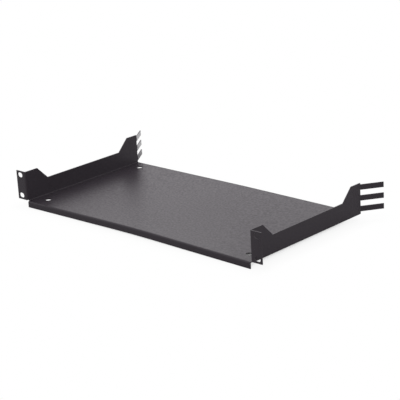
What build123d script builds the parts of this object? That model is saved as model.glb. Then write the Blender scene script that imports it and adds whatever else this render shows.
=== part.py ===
"""One-unit 19-inch rack shelf, folded from a single steel sheet.

The shelf is a shallow tray with a wall folded up along each side. Each wall
turns outward into a rack ear at the front and into a comb of three splayed
fingers at the rear. The ears have slotted screw holes. The tray's front edge
is folded down into a lip. The tray is cambered: it rises a little from its
sides to a soft ridge along its middle.

Frame: X runs along the rack's width, Y from the front to the rear, Z up. The
origin is the centre of the four rack screw holes, on the ears' front face.
Lengths are in millimetres and angles in degrees.
"""

import math
import os

from build123d import *

# Sheet
SHEET = 1.5  # thickness of the steel with its coating
BEND_RADIUS = 0.8  # inside radius of every fold

# Rack ears, to the 19-inch standard at one unit high
PANEL_WIDTH = 482.6  # across both ears
PANEL_HEIGHT = 44.15  # one rack unit less a gap
EAR_SLOT_INSET = 7.8  # from the ear's outer edge to the middle of its slots
EAR_SLOT_SPACING = 31.75  # between the two slots of an ear
EAR_SLOT_LENGTH = 10.2
EAR_SLOT_HEIGHT = 7.5

# Tray and side walls
BODY_WIDTH = 446.6  # over the outer faces of the walls
BODY_DEPTH = 233.0  # from the ears' front face to the fingers' bend
CORNER_RELIEF = 1.5  # depth of the notch behind the front folds, where three folds meet
CAMBER_FRONT = 3.2  # rise of the tray's middle at its front edge
CAMBER_REAR = 1.1  # rise of the tray's middle at its rear edge
CAMBER_RADIUS = 3000.0  # of the soft ridge along the tray's middle
CAMBER_MARGIN = 3.0  # level strip between a side fold and the start of the rise
CAMBER_FOOT_RADIUS = 250.0  # of the bend where the rise starts

# Cut-out in each wall's top edge
FRONT_TAB = 24.6  # full-height stretch behind the ear
REAR_TAB = 20.5  # full-height stretch before the fingers
CUTOUT_DEPTH = 19.1
CUTOUT_SLOPE = 45.0

# Front lip
LIP_HEIGHT = 9.7  # from the tray's top face to the lip's lower edge
LIP_GAP = 0.7  # from the line of a side fold to the lip's end

# Rear fingers
FINGER_COUNT = 3
FINGER_HEIGHT = 7.8
FINGER_GAP = 8.1
FINGER_LENGTH = 34.4
FINGER_ANGLE = 34.5  # outward, from the wall's own plane

# Fixing holes in the tray's corners
TRAY_HOLE_DIAMETER = 9.0
TRAY_HOLE_INSET_SIDE = 23.8  # from the walls' outer faces
TRAY_HOLE_INSET_FRONT = 21.9  # from the ears' front face
TRAY_HOLE_INSET_REAR = 18.6  # from the tray's rear edge

# Heights and planes that follow from the sizes above
OUTER_RADIUS = BEND_RADIUS + SHEET
EAR_TOP = PANEL_HEIGHT / 2
EAR_BOTTOM = -PANEL_HEIGHT / 2
TRAY_TOP = EAR_BOTTOM - BEND_RADIUS  # the walls are flat from the ears' lower edge up
TRAY_MIDDLE = TRAY_TOP - SHEET / 2  # mid-plane of the tray at its side folds
WALL_X = BODY_WIDTH / 2 - SHEET / 2  # mid-plane of a wall
TRAY_HALF_WIDTH = BODY_WIDTH / 2 - OUTER_RADIUS  # half of the tray between its side folds
LIP_HALF_WIDTH = TRAY_HALF_WIDTH - LIP_GAP
SIDE_FOLD_FRONT = OUTER_RADIUS + CORNER_RELIEF  # where the walls' folds begin
ROOT = SHEET  # how far a flange's strip reaches back into the wall that it grows from
FOLD = BEND_RADIUS + SHEET / 2  # radius of a fold's mid-line
CAMBER_RADII = [CAMBER_FOOT_RADIUS, CAMBER_RADIUS, CAMBER_FOOT_RADIUS]


def bent_strip(points, radii):
    """Face of the sheet seen edge-on: a mid-line through the points, rounded at each corner."""
    return trace(FilletPolyline(*points, radius=radii), line_width=SHEET)


def mirrored(solid):
    """The solid of the +X side together with its twin on the -X side."""
    return solid + mirror(solid, about=Plane.YZ)


def mid_line(rise):
    """Mid-line of the two walls and of the tray, which rises to its middle from a foot beside each fold."""
    foot = TRAY_HALF_WIDTH - CAMBER_MARGIN
    level = TRAY_MIDDLE
    tray = [(-WALL_X, level), (-foot, level), (0, level + rise), (foot, level), (WALL_X, level)]
    return FilletPolyline((-WALL_X, EAR_TOP), *tray, (WALL_X, EAR_TOP), radius=[FOLD, *CAMBER_RADII, FOLD])


def channel_section(rise, y):
    """U-shaped section of the tray and its two walls, at depth y."""
    strip = trace(mid_line(rise), line_width=SHEET)
    return Plane(origin=(0, y, 0), x_dir=(1, 0, 0), z_dir=(0, -1, 0)) * strip


def tray_with_walls():
    """Channel of tray and walls, whose camber fades from the front section to the rear one."""
    front = channel_section(CAMBER_FRONT, SIDE_FOLD_FRONT)
    rear = channel_section(CAMBER_REAR, BODY_DEPTH)
    return loft([front, rear], ruled=True)


def wall_cutout():
    """Long trapezium that lowers both walls between their front and rear tabs."""
    run = CUTOUT_DEPTH / math.tan(math.radians(CUTOUT_SLOPE))
    start, end = FRONT_TAB, BODY_DEPTH - REAR_TAB
    low = EAR_TOP - CUTOUT_DEPTH
    outline = make_face(
        Polyline((start, EAR_TOP), (start + run, low), (end - run, low), (end, EAR_TOP), close=True)
    )
    return extrude(Plane.YZ * outline, amount=BODY_WIDTH / 2 + SHEET, both=True)


def ear():
    """Right-hand ear with its fold from the wall and its two screw slots."""
    corners = [(WALL_X, SIDE_FOLD_FRONT + ROOT), (WALL_X, SHEET / 2), (PANEL_WIDTH / 2, SHEET / 2)]
    strip = bent_strip(corners, FOLD)
    plate = extrude(Plane.XY.offset(EAR_BOTTOM) * strip, amount=PANEL_HEIGHT)
    slot = SlotOverall(EAR_SLOT_LENGTH, EAR_SLOT_HEIGHT)
    x = PANEL_WIDTH / 2 - EAR_SLOT_INSET
    slots = [
        extrude(Plane.XZ * Pos(x, side * EAR_SLOT_SPACING / 2) * slot, amount=2 * SHEET, both=True)
        for side in (-1, 1)
    ]
    return plate - slots


def lip():
    """Front lip with its fold, carried along the tray's mid-line and cut short of the side folds."""
    between_folds = mid_line(CAMBER_FRONT).edges().sort_by(Axis.X)[2:-2]
    path = Plane.XZ * Wire(between_folds)
    start = Plane(origin=path @ 0, x_dir=(0, 1, 0), z_dir=path % 0)
    corners = [(SIDE_FOLD_FRONT, 0), (SHEET / 2, 0), (SHEET / 2, SHEET / 2 - LIP_HEIGHT)]
    profile = start * bent_strip(corners, FOLD)
    return sweep(profile.face(), path=path) & Box(2 * LIP_HALF_WIDTH, BODY_DEPTH, 2 * PANEL_HEIGHT)


def finger_comb():
    """Right-hand comb: fingers that bend outward from the wall's rear edge."""
    angle = math.radians(FINGER_ANGLE)
    setback = (BEND_RADIUS + SHEET / 2) * math.tan(angle / 2)
    bend_y = BODY_DEPTH + setback
    tip = (WALL_X + FINGER_LENGTH * math.sin(angle), bend_y + FINGER_LENGTH * math.cos(angle))
    strip = bent_strip([(WALL_X, BODY_DEPTH - ROOT), (WALL_X, bend_y), tip], FOLD)
    finger = extrude(strip, amount=FINGER_HEIGHT / 2, both=True)
    pitch = FINGER_HEIGHT + FINGER_GAP
    middle = (FINGER_COUNT - 1) / 2
    return [Pos(0, 0, (index - middle) * pitch) * finger for index in range(FINGER_COUNT)]


def tray_holes():
    """Drills for the four fixing holes near the tray's corners."""
    drill = Cylinder(TRAY_HOLE_DIAMETER / 2, 4 * SHEET)
    x = BODY_WIDTH / 2 - TRAY_HOLE_INSET_SIDE
    rows = (TRAY_HOLE_INSET_FRONT, BODY_DEPTH - TRAY_HOLE_INSET_REAR)
    return [Pos(side * x, y, TRAY_MIDDLE) * drill for side in (-1, 1) for y in rows]


def shelf():
    """The whole folded sheet as one solid."""
    body = tray_with_walls() - wall_cutout() + lip()
    right_side = ear() + finger_comb()
    return body + mirrored(right_side) - tray_holes()


os.makedirs("parts", exist_ok=True)
export_step(shelf(), "parts/shelf_body.step")
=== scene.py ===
"""Studio picture of a one-unit rack shelf, folded from one sheet and powder coated black."""

import logging
import math
from dataclasses import dataclass, field

import bmesh
import bpy
import numpy as np
from mathutils import Matrix, Vector
from mathutils.geometry import delaunay_2d_cdt

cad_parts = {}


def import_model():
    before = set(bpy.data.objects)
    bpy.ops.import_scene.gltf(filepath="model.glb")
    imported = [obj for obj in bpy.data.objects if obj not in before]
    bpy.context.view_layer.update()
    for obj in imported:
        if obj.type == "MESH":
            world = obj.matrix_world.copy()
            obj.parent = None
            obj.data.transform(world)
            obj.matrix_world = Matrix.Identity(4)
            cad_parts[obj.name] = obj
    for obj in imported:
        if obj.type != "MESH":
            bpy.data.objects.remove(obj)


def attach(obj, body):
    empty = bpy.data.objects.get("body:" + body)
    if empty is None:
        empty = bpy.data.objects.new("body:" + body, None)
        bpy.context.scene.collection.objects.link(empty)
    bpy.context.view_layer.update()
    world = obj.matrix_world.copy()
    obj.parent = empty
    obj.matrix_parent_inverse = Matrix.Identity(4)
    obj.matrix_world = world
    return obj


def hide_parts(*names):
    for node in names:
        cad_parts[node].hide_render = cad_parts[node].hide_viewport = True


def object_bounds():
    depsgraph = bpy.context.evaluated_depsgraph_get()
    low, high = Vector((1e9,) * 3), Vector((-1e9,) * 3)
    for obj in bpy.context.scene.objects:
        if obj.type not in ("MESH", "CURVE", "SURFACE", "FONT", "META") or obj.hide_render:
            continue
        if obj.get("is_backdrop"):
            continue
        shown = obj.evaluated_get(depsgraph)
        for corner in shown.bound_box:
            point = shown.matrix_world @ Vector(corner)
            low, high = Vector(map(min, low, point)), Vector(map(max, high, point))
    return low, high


LOG = logging.getLogger("rack_shelf")
SHEET_NODE = "shelf_body"
PICTURE = 400  # width and height of the picture, in pixels
MM_PER_M = 1000.0
HAIR = 1e-6  # slack in millimetres for points on the line of a fold
SAME_POINT = 1e-5  # points of the blank nearer than this, in millimetres, are one
CELLS_AS_FACES = 4  # what delaunay_2d_cdt is asked for: cells between the given lines, as valid faces


def heading(turn: float, rise: float = 0.0) -> Vector:
    """Work out a direction.

    Its level parts are minus sine and cosine of the turn, both times the cosine of the rise, and its
    upright part is the sine of the rise.

    Args:
        turn: Degrees from the rear towards the left.
        rise: Degrees above the horizon.

    Returns:
        The unit vector.
    """
    level, up = math.radians(turn), math.radians(rise)
    return Vector((-math.sin(level) * math.cos(up), math.cos(level) * math.cos(up), math.sin(up)))


@dataclass(frozen=True)
class PowderCoat:
    """Black fine-textured powder coat, baked on steel.

    Attributes:
        colour: Linear colour of the coat in flat light.
        refraction: Index of refraction of its resin.
        roughness: Mean roughness of its skin.
        roughness_spread: How far the roughness wanders from patch to patch.
        grain_size: Pitch of the coat's fine grain, in metres.
        grain_height: Height of the grain, in metres.
        grain_detail: Octaves of finer noise in the grain.
        ripple_size: Pitch of the slow ripple that such coats set with, in metres.
        ripple_height: Height of the ripple, in metres.
        ripple_detail: Octaves of finer noise in the ripple.
        ripple_span: Values of the ripple between which the roughness wanders over its whole spread.
    """

    colour: tuple[float, float, float] = (0.0238, 0.0196, 0.0245)
    refraction: float = 1.36
    roughness: float = 0.36
    roughness_spread: float = 0.08
    grain_size: float = 0.0009
    grain_height: float = 0.000012
    grain_detail: float = 2.0
    ripple_size: float = 0.003
    ripple_height: float = 0.00006
    ripple_detail: float = 1.0
    ripple_span: tuple[float, float] = (0.3, 0.7)

    def material(self) -> bpy.types.Material:
        """Build the coat as a procedural material on object coordinates.

        Returns:
            The finished material.
        """
        made = bpy.data.materials.new("black_powder_coat")
        made.use_nodes = True
        nodes, links = made.node_tree.nodes, made.node_tree.links
        shader = nodes["Principled BSDF"]
        shader.inputs["Base Color"].default_value = (*self.colour, 1.0)
        shader.inputs["IOR"].default_value = self.refraction
        place = nodes.new("ShaderNodeTexCoord")
        grain = self._noise(nodes, links, place, self.grain_size, self.grain_detail)
        ripple = self._noise(nodes, links, place, self.ripple_size, self.ripple_detail)
        self._roughness(nodes, links, ripple, shader)
        first = self._bump(nodes, links, ripple, self.ripple_height, None)
        second = self._bump(nodes, links, grain, self.grain_height, first)
        links.new(second.outputs["Normal"], shader.inputs["Normal"])
        return made

    def _noise(
        self,
        nodes: bpy.types.Nodes,
        links: bpy.types.NodeLinks,
        place: bpy.types.Node,
        size: float,
        detail: float,
    ) -> bpy.types.Node:
        """Add a noise field.

        Args:
            nodes: Nodes of the material.
            links: Links of the material.
            place: Texture coordinate node.
            size: Pitch of the noise in metres.
            detail: Octaves of finer noise.

        Returns:
            The noise node.
        """
        noise = nodes.new("ShaderNodeTexNoise")
        noise.inputs["Scale"].default_value = 1.0 / size
        noise.inputs["Detail"].default_value = detail
        links.new(place.outputs["Object"], noise.inputs["Vector"])
        return noise

    def _roughness(
        self,
        nodes: bpy.types.Nodes,
        links: bpy.types.NodeLinks,
        ripple: bpy.types.Node,
        shader: bpy.types.Node,
    ) -> None:
        """Let the roughness wander with the ripple.

        Args:
            nodes: Nodes of the material.
            links: Links of the material.
            ripple: Noise node of the ripple.
            shader: Shader whose roughness is set.
        """
        spread = nodes.new("ShaderNodeMapRange")
        spread.inputs["From Min"].default_value, spread.inputs["From Max"].default_value = self.ripple_span
        spread.inputs["To Min"].default_value = self.roughness - self.roughness_spread
        spread.inputs["To Max"].default_value = self.roughness + self.roughness_spread
        links.new(ripple.outputs["Fac"], spread.inputs["Value"])
        links.new(spread.outputs["Result"], shader.inputs["Roughness"])

    def _bump(
        self,
        nodes: bpy.types.Nodes,
        links: bpy.types.NodeLinks,
        noise: bpy.types.Node,
        height: float,
        under: bpy.types.Node | None,
    ) -> bpy.types.Node:
        """Turn a noise field into relief.

        Args:
            nodes: Nodes of the material.
            links: Links of the material.
            noise: Noise node that gives the height.
            height: Height of the relief in metres.
            under: Bump node that this one lies on, or None.

        Returns:
            The bump node.
        """
        bump = nodes.new("ShaderNodeBump")
        bump.inputs["Distance"].default_value = height
        links.new(noise.outputs["Fac"], bump.inputs["Height"])
        if under is not None:
            links.new(under.outputs["Normal"], bump.inputs["Normal"])
        return bump


@dataclass(frozen=True)
class SheetSizes:
    """Sizes of the shelf in millimetres, the same as its solid's.

    Attributes:
        sheet: Thickness of the steel.
        bend_radius: Inside radius of the folds.
        panel_width: Width over both ears.
        panel_height: Height of the ears and of the walls' full-height tabs.
        ear_slot_inset: From the ear's outer edge to the middle of its slots.
        ear_slot_spacing: Between the two slots of an ear.
        ear_slot_length: Length of a slot, across the ear.
        ear_slot_height: Height of a slot.
        body_width: Width over the walls' outer faces.
        body_depth: From the ears' front face to the fingers' bend.
        corner_relief: Depth of the notch behind the front folds.
        camber_front: Rise of the tray's middle at its front edge.
        camber_rear: Rise of the tray's middle at its rear edge.
        camber_radius: Radius of the soft ridge along the tray's middle.
        camber_margin: Level strip between a side fold and the start of the rise.
        camber_foot_radius: Radius of the bend where the rise starts.
        front_tab: Full-height stretch of a wall behind its ear.
        rear_tab: Full-height stretch of a wall before its fingers.
        cutout_depth: Depth of the cut-out in a wall's top edge; its ends slope at 45 degrees.
        lip_height: From the tray's top face to the lip's lower edge.
        lip_gap: From the line of a side fold to the lip's end.
        finger_count: Fingers on each side.
        finger_height: Height of a finger.
        finger_gap: Gap between two fingers.
        finger_length: Length of a finger from the corner of its bend.
        finger_angle: Turn of the fingers out of the wall's plane, in degrees.
        tray_hole_diameter: Width of a hole in the tray.
        tray_hole_side: From a wall's outer face to the tray's holes.
        tray_hole_front: From the ears' front face to the front holes.
        tray_hole_rear: From the tray's rear edge to the rear holes.
    """

    sheet: float = 1.5
    bend_radius: float = 0.8
    panel_width: float = 482.6
    panel_height: float = 44.15
    ear_slot_inset: float = 7.8
    ear_slot_spacing: float = 31.75
    ear_slot_length: float = 10.2
    ear_slot_height: float = 7.5
    body_width: float = 446.6
    body_depth: float = 233.0
    corner_relief: float = 1.5
    camber_front: float = 3.2
    camber_rear: float = 1.1
    camber_radius: float = 3000.0
    camber_margin: float = 3.0
    camber_foot_radius: float = 250.0
    front_tab: float = 24.6
    rear_tab: float = 20.5
    cutout_depth: float = 19.1
    lip_height: float = 9.7
    lip_gap: float = 0.7
    finger_count: int = 3
    finger_height: float = 7.8
    finger_gap: float = 8.1
    finger_length: float = 34.4
    finger_angle: float = 34.5
    tray_hole_diameter: float = 9.0
    tray_hole_side: float = 23.8
    tray_hole_front: float = 21.9
    tray_hole_rear: float = 18.6

    @property
    def outer_radius(self) -> float:
        """Outside radius of a fold."""
        return self.bend_radius + self.sheet

    @property
    def fold(self) -> float:
        """Radius of a fold's mid-line."""
        return self.bend_radius + self.sheet / 2

    @property
    def corner(self) -> float:
        """Length of a right-angled fold's mid-line."""
        return self.fold * math.pi / 2

    @property
    def tray_edge(self) -> float:
        """From the middle of the tray to its side folds."""
        return self.body_width / 2 - self.outer_radius

    @property
    def tray_middle(self) -> float:
        """Height of the tray's mid-plane at its side folds."""
        return -self.panel_height / 2 - self.fold

    @property
    def wall_foot(self) -> float:
        """From the blank's middle line to where its walls are flat."""
        return self.tray_edge + self.corner

    @property
    def side_fold_front(self) -> float:
        """Depth at which the side folds begin."""
        return self.outer_radius + self.corner_relief

    @property
    def ear_edge(self) -> float:
        """Place of the ears' outer edges along the blank."""
        wall_middle = (self.body_width - self.sheet) / 2
        return self.outer_radius - self.corner - (self.panel_width / 2 - wall_middle - self.fold)


@dataclass(frozen=True)
class Blank:
    """Flat blank of the shelf, as it is cut before it is folded.

    A point of the blank is (s, t) in millimetres: s runs across it from its middle line, and t from
    the front to the rear. Where the finished sheet is flat, t is the depth behind the ears' front face.

    Attributes:
        sizes: Sizes of the shelf.
        fold_steps: Strips that a right-angled fold is divided into.
        margin_steps: Strips of the level margin between a side fold and the start of the camber.
        cell: Size of the cells that the flat stretches are divided into.
        overhang: How far the cut lines reach past the outline.
        hole_steps: Corners of a round hole.
    """

    sizes: SheetSizes
    fold_steps: int = 9
    margin_steps: int = 3
    cell: float = 12.0
    overhang: float = 1.0
    hole_steps: int = 48

    def side_outline(self) -> np.ndarray:
        """Corners of the right half, from the lip's end round the ear, wall and fingers to the rear edge.

        Returns:
            Array of (s, t) corners.
        """
        k = self.sizes
        top = k.wall_foot + k.panel_height
        lip = k.outer_radius - k.corner - (k.lip_height - k.sheet / 2 - k.fold)
        low = top - k.cutout_depth
        cut = (k.front_tab, k.body_depth - k.rear_tab)
        lip_end = k.tray_edge - k.lip_gap
        corners = [(lip_end, lip), (lip_end, k.side_fold_front), (k.wall_foot, k.side_fold_front)]
        corners += [(k.wall_foot, k.ear_edge), (top, k.ear_edge)]
        corners += [(top, cut[0]), (low, cut[0] + k.cutout_depth)]
        corners += [(low, cut[1] - k.cutout_depth), (top, cut[1]), (top, k.body_depth)]
        tip = self.tip()
        for lower, upper in self.finger_bands()[::-1]:
            corners += [(upper, k.body_depth), (upper, tip), (lower, tip), (lower, k.body_depth)]
        corners += [(k.wall_foot, k.body_depth)]
        return np.array(corners)

    def finger_bands(self) -> np.ndarray:
        """Place the fingers on the blank, evenly spaced about the wall's mid-height.

        Returns:
            Lower and upper edge of each finger.
        """
        k = self.sizes
        middle = k.wall_foot + k.panel_height / 2
        step = np.arange(k.finger_count) - (k.finger_count - 1) / 2
        centres = middle + step * (k.finger_height + k.finger_gap)
        return np.column_stack([centres - k.finger_height / 2, centres + k.finger_height / 2])

    def tip(self) -> float:
        """Find the fingers' tips on the blank: past the bend's arc by what its corner leaves.

        Returns:
            The tips' place along the blank.
        """
        k = self.sizes
        angle = math.radians(k.finger_angle)
        return k.body_depth + k.fold * angle + k.finger_length - k.fold * math.tan(angle / 2)

    def outline(self) -> np.ndarray:
        """Whole outline: the right half and its mirror image, walked back."""
        right = self.side_outline()
        return np.concatenate([right, right[::-1] * (-1.0, 1.0)])

    def holes(self) -> list[np.ndarray]:
        """Corners of every hole.

        A hole's corners are its middle plus its half width times (sine, cosine) of even turns. A slot's two
        halves are moved apart along t by what its length exceeds its width.

        Returns:
            One array of (s, t) corners for each hole.
        """
        k = self.sizes
        ear_t = k.ear_edge + k.ear_slot_inset
        ear_s = k.wall_foot + k.panel_height / 2
        tray_s = k.body_width / 2 - k.tray_hole_side
        rows = (k.tray_hole_front, k.body_depth - k.tray_hole_rear)
        slot = (k.ear_slot_height, k.ear_slot_length)
        places = [(ear_s + side * k.ear_slot_spacing / 2, ear_t, *slot) for side in (-1, 1)]
        places += [(tray_s, t, k.tray_hole_diameter, k.tray_hole_diameter) for t in rows]
        turn = (np.arange(self.hole_steps) + 0.5) * 2 * np.pi / self.hole_steps
        ring = np.column_stack([np.sin(turn), np.cos(turn)])
        apart = np.sign(ring) * (0.0, 0.5)
        return [
            np.array((side * s, t)) + ring * width / 2 + apart * (length - width)
            for s, t, width, length in places
            for side in (-1, 1)
        ]

    def cut_lines(self) -> tuple[np.ndarray, np.ndarray]:
        """Lines across the blank that its cells lie between: dense at the folds, wide on the flats.

        Returns:
            The s values of the lines along t, and the t values of the lines along s.
        """
        k = self.sizes
        foot = k.tray_edge - k.camber_margin
        flat = np.linspace(0, foot, round(foot / self.cell) + 1)
        rise = np.linspace(foot, k.tray_edge, self.margin_steps + 1)
        side = np.linspace(k.tray_edge, k.wall_foot, self.fold_steps + 1)
        half = np.concatenate([flat, rise, side])
        across = np.unique(np.concatenate([-half, half]))
        front = k.outer_radius - np.linspace(0, k.corner, self.fold_steps + 1)
        depth = np.linspace(k.side_fold_front, k.body_depth, round(k.body_depth / self.cell))
        bend = k.fold * math.radians(k.finger_angle)
        rear = k.body_depth + np.linspace(0, bend, self.fold_steps // 2 + 1)
        return across, np.unique(np.concatenate([front, depth, rear]))

    def cells(self) -> tuple[np.ndarray, list[list[int]]]:
        """Divide the blank into cells between its outline, its holes and its cut lines.

        Returns:
            The (s, t) points and the cells as lists of point numbers, counter-clockwise.
        """
        across, along = self.cut_lines()
        loops = [self.outline(), *self.holes()]
        low = loops[0].min(axis=0) - self.overhang
        high = loops[0].max(axis=0) + self.overhang
        points = [np.concatenate(loops)]
        edges = []
        start = 0
        for loop in loops:
            number = start + np.arange(len(loop))
            edges.append(np.column_stack([number, np.roll(number, -1)]))
            start += len(loop)
        for ends in ([(s, low[1], s, high[1]) for s in across], [(low[0], t, high[0], t) for t in along]):
            pairs = np.array(ends).reshape(-1, 2)
            points.append(pairs)
            edges.append(start + np.arange(len(pairs)).reshape(-1, 2))
            start += len(pairs)
        flat = [Vector(p) for p in np.concatenate(points).tolist()]
        found = delaunay_2d_cdt(flat, np.concatenate(edges).tolist(), [], CELLS_AS_FACES, SAME_POINT)
        where = np.array([tuple(p) for p in found[0]])
        middles = np.array([where[list(cell)].mean(axis=0) for cell in found[2]])
        keep = self.inside(middles, loops)
        return where, [list(cell) for cell, kept in zip(found[2], keep) if kept]

    def inside(self, points: np.ndarray, loops: list[np.ndarray]) -> np.ndarray:
        """Tell which points lie on the blank.

        Those do whose ray along +s crosses the loops an odd number of times.

        Args:
            points: Array of (s, t) points.
            loops: Outline and holes.

        Returns:
            One truth value for each point.
        """
        crossings = np.zeros(len(points), dtype=int)
        for loop in loops:
            a, b = loop[None], np.roll(loop, -1, axis=0)[None]
            s, t = points[:, :1], points[:, 1:]
            spans = (a[..., 1] > t) != (b[..., 1] > t)
            rise = np.where(b[..., 1] == a[..., 1], 1.0, b[..., 1] - a[..., 1])
            at = a[..., 0] + (t - a[..., 1]) * (b[..., 0] - a[..., 0]) / rise
            crossings += (spans & (s < at)).sum(axis=1)
        return crossings % 2 == 1


@dataclass(frozen=True)
class Fold:
    """Arc on which a strip turns out of its straight run.

    Attributes:
        radius: Radius of the strip's mid-line on the arc, in millimetres.
        angle: Whole turn in radians.
    """

    radius: float
    angle: float

    def bend(self, distance: np.ndarray) -> tuple[np.ndarray, np.ndarray, np.ndarray]:
        """Carry points round the fold.

        The turn reached is distance over radius, held between 0 and the whole angle. What is left of
        the distance runs straight on. Along is radius times sine, aside is radius times one less cosine.

        Args:
            distance: Distances past the start of the fold, along the strip.

        Returns:
            How far each point lies along the old heading, how far aside of it, and its turn.
        """
        turn = np.clip(distance / self.radius, 0.0, self.angle)
        rest = distance - self.radius * turn
        along = self.radius * np.sin(turn) + rest * np.cos(turn)
        aside = self.radius * (1.0 - np.cos(turn)) + rest * np.sin(turn)
        return along, aside, turn


@dataclass
class FoldedSheet:
    """The shelf: one sheet folded into tray, walls, ears, lip and rear fingers.

    Attributes:
        sizes: Sizes of the shelf.
        coat: Finish of the sheet.
        edge_round: Radius that the coat leaves on the cut edges, in millimetres.
        edge_steps: Strips of that rounding.
        edge_angle: Turn between two faces past which their edge is rounded, in degrees.
    """

    sizes: SheetSizes = field(default_factory=SheetSizes)
    coat: PowderCoat = field(default_factory=PowderCoat)
    edge_round: float = 0.3
    edge_steps: int = 3
    edge_angle: float = 60.0

    def camber(self, x: np.ndarray, y: np.ndarray) -> np.ndarray:
        """Rise of the tray over its side folds.

        A straight slope climbs from each foot to the middle line. A kink is softened over a reach r as
        (u + r) squared over 4r. The slope fades linearly from the front edge to the rear one.

        Args:
            x: Places across the tray.
            y: Depths behind the ears' front face.

        Returns:
            The rise in millimetres.
        """
        k = self.sizes
        foot = k.tray_edge - k.camber_margin
        share = np.clip((y - k.side_fold_front) / (k.body_depth - k.side_fold_front), 0.0, 1.0)
        slope = (k.camber_front + (k.camber_rear - k.camber_front) * share) / foot
        smooth_x = 2.0 * self._softened(x, k.camber_radius * slope) - x
        return slope * self._softened(foot - smooth_x, k.camber_foot_radius * slope / 2)

    @staticmethod
    def _softened(u: np.ndarray, reach: np.ndarray) -> np.ndarray:
        """The larger of u and 0, with a quadratic curve over the reach on both sides of 0."""
        curve = (u + reach) ** 2 / (4.0 * reach)
        return np.where(u > reach, u, np.where(u < -reach, 0.0, curve))

    def folded(self, blank: np.ndarray, off: float) -> np.ndarray:
        """Fold points of the blank to their places in space.

        The side folds lift the walls. On the walls the front fold turns the ears outward and the rear one
        turns the fingers outward, and on the tray the front fold turns the lip down. A point off the
        sheet's middle moves along the sheet's normal, which turns with the folds.

        Args:
            blank: Array of (s, t) points.
            off: Distance from the sheet's middle towards its upper or inner face.

        Returns:
            Array of points in millimetres.
        """
        k = self.sizes
        s, t = np.abs(blank[:, 0]), blank[:, 1]
        right_angle = Fold(k.fold, math.pi / 2)
        out, up, side_turn = right_angle.bend(s - k.tray_edge)
        front_along, front_aside, front_turn = right_angle.bend(k.outer_radius - t)
        rear_along, rear_aside, rear_turn = Fold(k.fold, math.radians(k.finger_angle)).bend(t - k.body_depth)
        x = k.tray_edge + out - off * np.sin(side_turn)
        y = k.outer_radius - front_along - off * np.sin(front_turn)
        y += rear_along - (t - k.body_depth) + off * np.sin(rear_turn)
        z = k.tray_middle + up + off * np.cos(side_turn)
        on_tray = s <= k.tray_edge + HAIR
        x += np.where(on_tray, 0.0, front_aside + off * (1.0 - np.cos(front_turn)))
        x += np.where(on_tray, 0.0, rear_aside + off * (1.0 - np.cos(rear_turn)))
        lowered = self.camber(x, y) - front_aside - off * (1.0 - np.cos(front_turn))
        z += np.where(on_tray, lowered, 0.0)
        return np.column_stack([np.copysign(x, blank[:, 0]), y, z])

    def mesh(self) -> bpy.types.Mesh:
        """Fold both faces of the blank and join them along its cut edges.

        Returns:
            The closed mesh, in metres.
        """
        where, cells = Blank(self.sizes).cells()
        half = self.sizes.sheet / 2
        points = np.concatenate([self.folded(where, half), self.folded(where, -half)]) / MM_PER_M
        count = len(where)
        first = np.concatenate([np.array(cell) for cell in cells])
        second = np.concatenate([np.roll(cell, -1) for cell in cells])
        rim = ~np.isin(first * count + second, second * count + first)
        a, b = first[rim], second[rim]
        edge_faces = np.column_stack([b, a, a + count, b + count]).tolist()
        under = [[number + count for number in cell[::-1]] for cell in cells]
        mesh = bpy.data.meshes.new("folded_sheet")
        mesh.from_pydata(points.tolist(), [], cells + under + edge_faces)
        self._drop_loose(mesh)
        mesh.polygons.foreach_set("use_smooth", np.ones(len(mesh.polygons), dtype=bool))
        return mesh

    @staticmethod
    def _drop_loose(mesh: bpy.types.Mesh) -> None:
        """Delete the points of the cut lines that lie off the blank.

        Args:
            mesh: Mesh that loses its loose points.
        """
        work = bmesh.new()
        work.from_mesh(mesh)
        loose = [vert for vert in work.verts if not vert.link_faces]
        bmesh.ops.delete(work, geom=loose, context="VERTS")
        work.to_mesh(mesh)
        work.free()

    def build(self) -> bpy.types.Object:
        """Make the sheet with its rounded edges and its coat, in the solid's place.

        Returns:
            The finished piece.
        """
        mesh = self.mesh()
        mesh.materials.append(self.coat.material())
        sheet = bpy.data.objects.new("folded_sheet", mesh)
        bpy.context.scene.collection.objects.link(sheet)
        edge = sheet.modifiers.new("rounded_cut_edges", "BEVEL")
        edge.limit_method = "ANGLE"
        edge.angle_limit = math.radians(self.edge_angle)
        edge.width = self.edge_round / MM_PER_M
        edge.segments = self.edge_steps
        edge.harden_normals = True
        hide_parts(SHEET_NODE)
        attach(sheet, "root")
        return sheet


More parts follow.
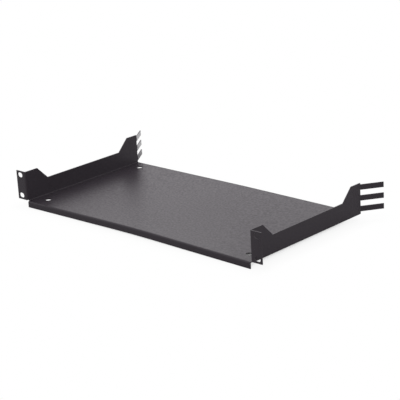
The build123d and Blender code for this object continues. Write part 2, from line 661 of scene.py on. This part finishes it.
@dataclass
class Studio:
    """Light table before a bright backdrop, under a softly lit white room.

    Attributes:
        floor_z: Height of the table under the shelf, in metres.
        floor_half: Half the table's width, in metres.
        floor_colour: Grey level of the table, as it lights the shelf.
        far_glow: Strength of the light that the table's far side gives by itself.
        far_start: Distance from the origin towards the backdrop where that light sets in, in metres.
        far_full: Distance at which it is full, in metres.
        shadow_reach: How far from the shelf its soft shadow reaches on the table, in metres.
        shadow_depth: Share of white that the soft shadow takes away at most.
        under_reach: How far around a point of the table the shelf counts as its cover, in metres.
        under_dark: Share of the sky that the table still sees where it is black under the tray.
        under_clear: Share from which the cover takes nothing away.
        shade_samples: Rays that each point of the table tests for cover.
        room: Strength of the room's light in front of the shelf.
        backdrop: Strength of the room's light behind the shelf.
        backdrop_turn: Heading of the backdrop's middle, in degrees from the rear towards the left.
        tint: Linear colour of the room's light, which gives the black coat its faint violet cast.
    """

    floor_z: float
    floor_half: float = 12.0
    floor_colour: float = 0.5
    far_glow: float = 1.8
    far_start: float = 0.36
    far_full: float = 0.46
    shadow_reach: float = 0.03
    shadow_depth: float = 0.12
    under_reach: float = 0.06
    under_dark: float = 0.05
    under_clear: float = 0.07
    shade_samples: int = 16
    room: float = 1.07
    backdrop: float = 1.25
    backdrop_turn: float = 44.0
    tint: tuple[float, float, float] = (1.0, 0.97, 1.0)

    def floor(self) -> bpy.types.Object:
        """Lay the table as one square, z = floor_z for x and y within its half width.

        Returns:
            The table, marked as stage.
        """
        corners = np.array([(-1, -1), (1, -1), (1, 1), (-1, 1)], dtype=float) * self.floor_half
        points = np.column_stack([corners, np.full(4, self.floor_z)])
        mesh = bpy.data.meshes.new("table_top")
        mesh.from_pydata(points.tolist(), [], [(0, 1, 2, 3)])
        mesh.materials.append(self._floor_material())
        table = bpy.data.objects.new("table_top", mesh)
        bpy.context.scene.collection.objects.link(table)
        table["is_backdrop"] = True
        return table

    def _floor_material(self) -> bpy.types.Material:
        """Pale table that the camera sees as white, but for the shelf's soft contact shadow.

        Returns:
            The material.
        """
        made = bpy.data.materials.new("white_table")
        made.use_nodes = True
        nodes, links = made.node_tree.nodes, made.node_tree.links
        nodes.clear()
        diffuse = nodes.new("ShaderNodeBsdfDiffuse")
        diffuse.inputs["Color"].default_value = (self.floor_colour, self.floor_colour, self.floor_colour, 1.0)
        soft = self._shade(nodes, links, self.shadow_reach, (0.0, 1.0), 1.0 - self.shadow_depth)
        deep = self._shade(nodes, links, self.under_reach, (self.under_dark, self.under_clear), 0.0)
        both = nodes.new("ShaderNodeMath")
        both.operation = "MULTIPLY"
        white = nodes.new("ShaderNodeEmission")
        rays = nodes.new("ShaderNodeLightPath")
        mix = nodes.new("ShaderNodeMixShader")
        out = nodes.new("ShaderNodeOutputMaterial")
        links.new(soft.outputs["Result"], both.inputs[0])
        links.new(deep.outputs["Result"], both.inputs[1])
        links.new(both.outputs["Value"], white.inputs["Strength"])
        lit = nodes.new("ShaderNodeAddShader")
        links.new(diffuse.outputs["BSDF"], lit.inputs[0])
        links.new(self._far_light(nodes, links).outputs["Emission"], lit.inputs[1])
        links.new(rays.outputs["Is Camera Ray"], mix.inputs["Fac"])
        links.new(lit.outputs["Shader"], mix.inputs[1])
        links.new(white.outputs["Emission"], mix.inputs[2])
        links.new(mix.outputs["Shader"], out.inputs["Surface"])
        return made

    def _far_light(self, nodes: bpy.types.Nodes, links: bpy.types.NodeLinks) -> bpy.types.Node:
        """Light of the table's far side, which rises along the backdrop's heading.

        Args:
            nodes: Nodes of the material.
            links: Links of the material.

        Returns:
            The emission shader.
        """
        place = nodes.new("ShaderNodeTexCoord")
        along = nodes.new("ShaderNodeVectorMath")
        along.operation = "DOT_PRODUCT"
        along.inputs[1].default_value = heading(self.backdrop_turn)
        rise = nodes.new("ShaderNodeMapRange")
        rise.interpolation_type = "SMOOTHSTEP"
        rise.inputs["From Min"].default_value = self.far_start
        rise.inputs["From Max"].default_value = self.far_full
        rise.inputs["To Max"].default_value = self.far_glow
        light = nodes.new("ShaderNodeEmission")
        links.new(place.outputs["Object"], along.inputs[0])
        links.new(along.outputs["Value"], rise.inputs["Value"])
        links.new(rise.outputs["Result"], light.inputs["Strength"])
        return light

    def _shade(
        self,
        nodes: bpy.types.Nodes,
        links: bpy.types.NodeLinks,
        reach: float,
        span: tuple[float, float],
        least: float,
    ) -> bpy.types.Node:
        """Shade the table by the share of the sky that it sees past the shelf.

        Args:
            nodes: Nodes of the material.
            links: Links of the material.
            reach: How far the shelf counts as cover, in metres.
            span: Shares of the sky between which the shade fades out.
            least: Share of white that is left in the deepest shade.

        Returns:
            The node that gives the share of white.
        """
        seen = nodes.new("ShaderNodeAmbientOcclusion")
        seen.samples = self.shade_samples
        seen.inputs["Distance"].default_value = reach
        shade = nodes.new("ShaderNodeMapRange")
        shade.inputs["From Min"].default_value, shade.inputs["From Max"].default_value = span
        shade.inputs["To Min"].default_value = least
        links.new(seen.outputs["AO"], shade.inputs["Value"])
        return shade

    def sky(self) -> bpy.types.World:
        """Light the room: white to the camera, and brighter behind the shelf than in front.

        The strength follows the cosine between a direction and the backdrop's heading.

        Returns:
            The world.
        """
        world = bpy.data.worlds.new("white_room")
        world.use_nodes = True
        nodes, links = world.node_tree.nodes, world.node_tree.links
        place = nodes.new("ShaderNodeTexCoord")
        cosine = nodes.new("ShaderNodeVectorMath")
        cosine.operation = "DOT_PRODUCT"
        cosine.inputs[1].default_value = heading(self.backdrop_turn)
        fade = nodes.new("ShaderNodeMapRange")
        fade.interpolation_type = "SMOOTHSTEP"
        fade.inputs["From Min"].default_value = -1.0
        fade.inputs["From Max"].default_value = 1.0
        fade.inputs["To Min"].default_value = self.room
        fade.inputs["To Max"].default_value = self.backdrop
        rays = nodes.new("ShaderNodeLightPath")
        strength = nodes.new("ShaderNodeMix")
        strength.inputs["B"].default_value = 1.0
        colour = nodes.new("ShaderNodeMix")
        colour.data_type = "RGBA"
        tinted, white = (socket for socket in colour.inputs if socket.type == "RGBA")
        tinted.default_value = (*self.tint, 1.0)
        white.default_value = (1.0, 1.0, 1.0, 1.0)
        links.new(place.outputs["Generated"], cosine.inputs[0])
        links.new(cosine.outputs["Value"], fade.inputs["Value"])
        links.new(rays.outputs["Is Camera Ray"], strength.inputs["Factor"])
        links.new(rays.outputs["Is Camera Ray"], colour.inputs["Factor"])
        links.new(fade.outputs["Result"], strength.inputs["A"])
        links.new(strength.outputs["Result"], nodes["Background"].inputs["Strength"])
        shown = next(socket for socket in colour.outputs if socket.type == "RGBA")
        links.new(shown, nodes["Background"].inputs["Color"])
        bpy.context.scene.world = world
        return world


@dataclass(frozen=True)
class Softbox:
    """Soft lamp behind and above the shelf, which gives the tray its bright middle.

    Attributes:
        aim: Point that the lamp faces, in metres.
        turn: Direction of the lamp from the aim, in degrees from the rear towards the left.
        rise: Height of the lamp above the aim's horizon, in degrees.
        distance: From the aim to the lamp, in metres.
        size: Width and height of the lamp, in metres.
        power: Power of the lamp, in watts.
    """

    aim: tuple[float, float, float] = (0.02, -0.04, 0.0)
    turn: float = 44.0
    rise: float = 38.0
    distance: float = 0.45
    size: tuple[float, float] = (0.3, 0.2)
    power: float = 0.19

    def lamp(self) -> bpy.types.Object:
        """Place the lamp.

        Returns:
            The lamp, which the camera doesn't see.
        """
        away = heading(self.turn, self.rise)
        data = bpy.data.lights.new("softbox", "AREA")
        data.shape = "RECTANGLE"
        data.size, data.size_y = self.size
        data.energy = self.power
        lamp = bpy.data.objects.new("softbox", data)
        bpy.context.scene.collection.objects.link(lamp)
        lamp.location = Vector(self.aim) + away * self.distance
        lamp.rotation_euler = away.to_track_quat("Z", "Y").to_euler()
        lamp.visible_camera = False
        return lamp


@dataclass(frozen=True)
class Viewpoint:
    """Camera of the picture, on an orbit round a point of the shelf.

    Attributes:
        azimuth: Turn of the camera about the vertical, in degrees, 0 in front.
        elevation: Height of the camera above the horizon, in degrees.
        roll: Turn of the picture about the line of sight, in degrees.
        distance: From the target to the camera, in metres.
        focal_pixels: Focal length in pixels of the picture.
        target: The point in the middle of the picture, in metres.
        sensor: Width of the camera's sensor, in millimetres.
        clip: Nearest and farthest distance that the camera shows, in metres.
    """

    azimuth: float = 44.03
    elevation: float = 18.50
    roll: float = -3.258
    distance: float = 2.1102
    focal_pixels: float = 1459.3
    target: tuple[float, float, float] = (0.0139, 0.1269, -0.0126)
    sensor: float = 36.0
    clip: tuple[float, float] = (0.01, 100.0)

    def camera(self) -> bpy.types.Object:
        """Place the camera.

        Returns:
            The scene's camera.
        """
        turn, rise, roll = (math.radians(v) for v in (self.azimuth, self.elevation, self.roll))
        back = Vector((math.sin(turn) * math.cos(rise), -math.cos(turn) * math.cos(rise), math.sin(rise)))
        right = Vector((math.cos(turn), math.sin(turn), 0.0))
        up = back.cross(right)
        tilted_right = right * math.cos(roll) + up * math.sin(roll)
        tilted_up = back.cross(tilted_right)
        place = Vector(self.target) + back * self.distance
        data = bpy.data.cameras.new("view")
        data.sensor_width = self.sensor
        data.lens = data.sensor_width * self.focal_pixels / PICTURE
        data.clip_start, data.clip_end = self.clip
        camera = bpy.data.objects.new("view", data)
        bpy.context.scene.collection.objects.link(camera)
        axes = Matrix((tilted_right, tilted_up, back)).transposed()
        camera.matrix_world = Matrix.Translation(place) @ axes.to_4x4()
        bpy.context.scene.camera = camera
        return camera


def main() -> None:
    """Build the picture in order."""
    logging.basicConfig(level=logging.INFO, format="%(name)s: %(message)s")
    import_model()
    cad_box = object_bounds()
    view_settings = bpy.context.scene.view_settings
    view_settings.view_transform = "Standard"
    camera = Viewpoint().camera()
    LOG.info("camera %s with a %.0f mm lens", camera.name, camera.data.lens)
    sheet = FoldedSheet().build()
    LOG.info("%s folded, %d faces", sheet.name, len(sheet.data.polygons))
    studio = Studio(floor_z=cad_box[0].z)
    LOG.info("%s laid at %.4f m", studio.floor().name, studio.floor_z)
    LOG.info("%s lit at %.2f to %.2f", studio.sky().name, studio.room, studio.backdrop)
    softbox = Softbox()
    LOG.info("%s hung at %.2f W", softbox.lamp().name, softbox.power)


if __name__ == "__main__":
    main()
